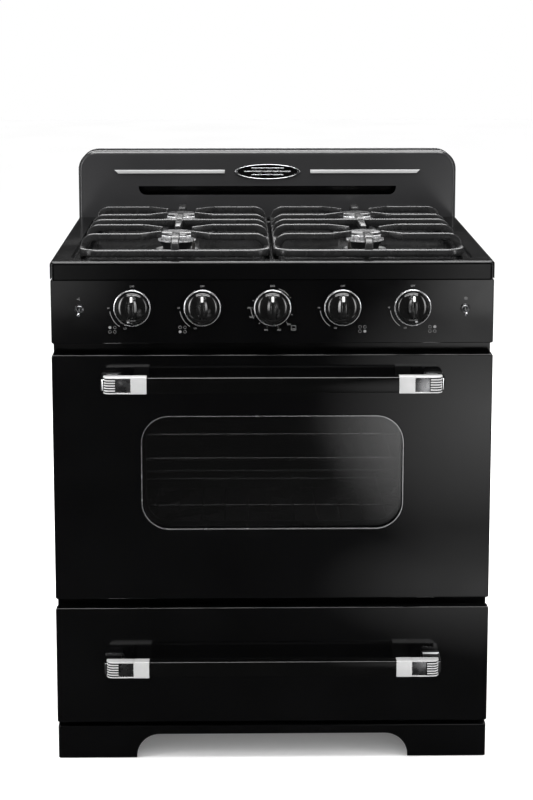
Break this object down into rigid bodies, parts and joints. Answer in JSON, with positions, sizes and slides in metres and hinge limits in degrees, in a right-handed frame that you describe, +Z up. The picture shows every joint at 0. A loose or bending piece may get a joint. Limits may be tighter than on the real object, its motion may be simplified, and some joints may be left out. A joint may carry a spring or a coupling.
{
  "type": "freestanding gas range",
  "caption": "Freestanding gas range with a backguard, two cast grates, push-and-turn knobs, toggle switches, a drop-down oven door, sliding racks and a storage drawer.",
  "frame": {"origin": "centre of the whole range's footprint, on the floor", "axes": "+X to the right seen from the front, +Y towards the wall behind, +Z up; the door faces -Y"},
  "size_m": [0.76, 0.7, 1.023],
  "materials": {
    "enamel_black": "gloss porcelain enamel",
    "enamel_cooktop": "gloss porcelain enamel, slightly pebbled",
    "enamel_oven": "speckled porcelain enamel",
    "frame_steel": "satin black",
    "galvanised": "galvanised sheet",
    "zinc_plate": "bright zinc plate",
    "chrome": "polished",
    "chrome_wire": "plated wire",
    "aluminium": "cast, brushed",
    "tube_aluminium": "drawn tube",
    "brass": "machined",
    "pipe_steel": "plated pipe",
    "cast_iron": "matt enamelled cast iron",
    "cap_enamel": "satin enamelled cap",
    "ceramic": "glazed ceramic",
    "lamp_glass": "clear heat-proof glass",
    "glass": "tempered glass",
    "mineral_wool": "mineral wool",
    "gasket": "woven fibreglass",
    "phenolic_black": "polished phenolic",
    "grip_black": "satin black",
    "nylon_black": "moulded nylon",
    "foot_plastic": "moulded foot on a plated stud"
  },
  "bodies": {
    "chassis": {"base_plinth": "enamel_black", "leveling_feet": "foot_plastic", "chassis_frame": "frame_steel", "side_panel_left": "enamel_black", "side_panel_right": "enamel_black", "back_panel": "galvanised", "case_screws": "zinc_plate", "oven_liner": "enamel_oven", "insulation": "mineral_wool", "oven_floor_plate": "enamel_oven", "bake_burner": "pipe_steel", "broil_burner": "pipe_steel", "rack_guides": "chrome_wire", "oven_lamp": "lamp_glass", "flue_duct": "frame_steel", "cooktop": "enamel_cooktop", "burner_bases": "aluminium", "burner_heads": "aluminium", "burner_caps": "cap_enamel", "spark_igniters": "ceramic", "backguard_shell": "enamel_black", "backguard_rear_cover": "galvanised", "backguard_trim": "chrome", "control_panel": "enamel_black", "knob_bezels": "chrome", "burner_valves": "brass", "oven_thermostat": "brass", "gas_manifold": "pipe_steel", "gas_tubes": "tube_aluminium", "switch_bodies": "chrome", "cord_gland": "nylon_black", "drawer_rails": "zinc_plate", "door_hinges": "zinc_plate"},
    "door": {"door_skin": "enamel_black", "door_inner_panel": "enamel_oven", "window_glass": "glass", "door_gasket": "gasket", "door_hinge_pins": "zinc_plate", "door_handle_bar": "grip_black", "door_handle_ends": "chrome"},
    "drawer": {"drawer_front": "enamel_black", "drawer_box": "galvanised", "drawer_handle_bar": "grip_black", "drawer_handle_ends": "chrome"},
    "ignition_toggle": {"toggle_left": "chrome"},
    "lamp_toggle": {"toggle_right": "chrome"},
    "grate_left": {"grate_left": "cast_iron"},
    "grate_right": {"grate_right": "cast_iron"},
    "rack_lower": {"oven_rack_1": "chrome_wire"},
    "rack_upper": {"oven_rack_2": "chrome_wire"},
    "stem_1": {"valve_stem_1": "brass"},
    "knob_1": {"knob_1": "phenolic_black"},
    "stem_2": {"valve_stem_2": "brass"},
    "knob_2": {"knob_2": "phenolic_black"},
    "stem_3": {"valve_stem_3": "brass"},
    "knob_3": {"knob_3": "phenolic_black"},
    "stem_4": {"valve_stem_4": "brass"},
    "knob_4": {"knob_4": "phenolic_black"},
    "stem_5": {"valve_stem_5": "brass"},
    "knob_5": {"knob_5": "phenolic_black"}
  },
  "joints": [
    {"name": "door_hinge", "type": "hinge", "parent": "chassis", "child": "door", "pos_m": [0, -0.275, 0.3015], "axis": [1, 0, 0], "range_deg": [0, 90], "stiffness_Nm_per_rad": 12, "springref_deg": -17.19},
    {"name": "drawer_slide", "type": "slide", "parent": "chassis", "child": "drawer", "axis": [0, -1, 0], "range_m": [0, 0.32]},
    {"name": "knob_1_push", "type": "slide", "parent": "chassis", "child": "stem_1", "axis": [0, 1, 0], "range_m": [0, 0.003], "stiffness_N_per_m": 800, "springref_m": -0.003},
    {"name": "knob_1_turn", "type": "hinge", "parent": "stem_1", "child": "knob_1", "pos_m": [-0.24, -0.295, 0.81], "axis": [0, -1, 0], "range_deg": [0, 160]},
    {"name": "knob_2_push", "type": "slide", "parent": "chassis", "child": "stem_2", "axis": [0, 1, 0], "range_m": [0, 0.003], "stiffness_N_per_m": 800, "springref_m": -0.003},
    {"name": "knob_2_turn", "type": "hinge", "parent": "stem_2", "child": "knob_2", "pos_m": [-0.12, -0.295, 0.81], "axis": [0, -1, 0], "range_deg": [0, 160]},
    {"name": "knob_3_push", "type": "slide", "parent": "chassis", "child": "stem_3", "axis": [0, 1, 0], "range_m": [0, 0.003], "stiffness_N_per_m": 800, "springref_m": -0.003},
    {"name": "knob_3_turn", "type": "hinge", "parent": "stem_3", "child": "knob_3", "pos_m": [0, -0.295, 0.81], "axis": [0, -1, 0], "range_deg": [0, 300]},
    {"name": "knob_4_push", "type": "slide", "parent": "chassis", "child": "stem_4", "axis": [0, 1, 0], "range_m": [0, 0.003], "stiffness_N_per_m": 800, "springref_m": -0.003},
    {"name": "knob_4_turn", "type": "hinge", "parent": "stem_4", "child": "knob_4", "pos_m": [0.12, -0.295, 0.81], "axis": [0, -1, 0], "range_deg": [0, 160]},
    {"name": "knob_5_push", "type": "slide", "parent": "chassis", "child": "stem_5", "axis": [0, 1, 0], "range_m": [0, 0.003], "stiffness_N_per_m": 800, "springref_m": -0.003},
    {"name": "knob_5_turn", "type": "hinge", "parent": "stem_5", "child": "knob_5", "pos_m": [0.24, -0.295, 0.81], "axis": [0, -1, 0], "range_deg": [0, 160]},
    {"name": "ignition_toggle_flip", "type": "hinge", "parent": "chassis", "child": "ignition_toggle", "pos_m": [-0.33, -0.294, 0.809], "axis": [-1, 0, 0], "range_deg": [0, 44], "stiffness_Nm_per_rad": 0.02, "springref_deg": -11.46},
    {"name": "lamp_toggle_flip", "type": "hinge", "parent": "chassis", "child": "lamp_toggle", "pos_m": [0.33, -0.294, 0.809], "axis": [-1, 0, 0], "range_deg": [0, 44]},
    {"name": "grate_left_lift", "type": "slide", "parent": "chassis", "child": "grate_left", "axis": [0, 0, 1], "range_m": [0, 0.06]},
    {"name": "grate_right_lift", "type": "slide", "parent": "chassis", "child": "grate_right", "axis": [0, 0, 1], "range_m": [0, 0.06]},
    {"name": "rack_lower_slide", "type": "slide", "parent": "chassis", "child": "rack_lower", "axis": [0, -1, 0], "range_m": [0, 0.022]},
    {"name": "rack_upper_slide", "type": "slide", "parent": "chassis", "child": "rack_upper", "axis": [0, -1, 0], "range_m": [0, 0.022]}
  ]
}
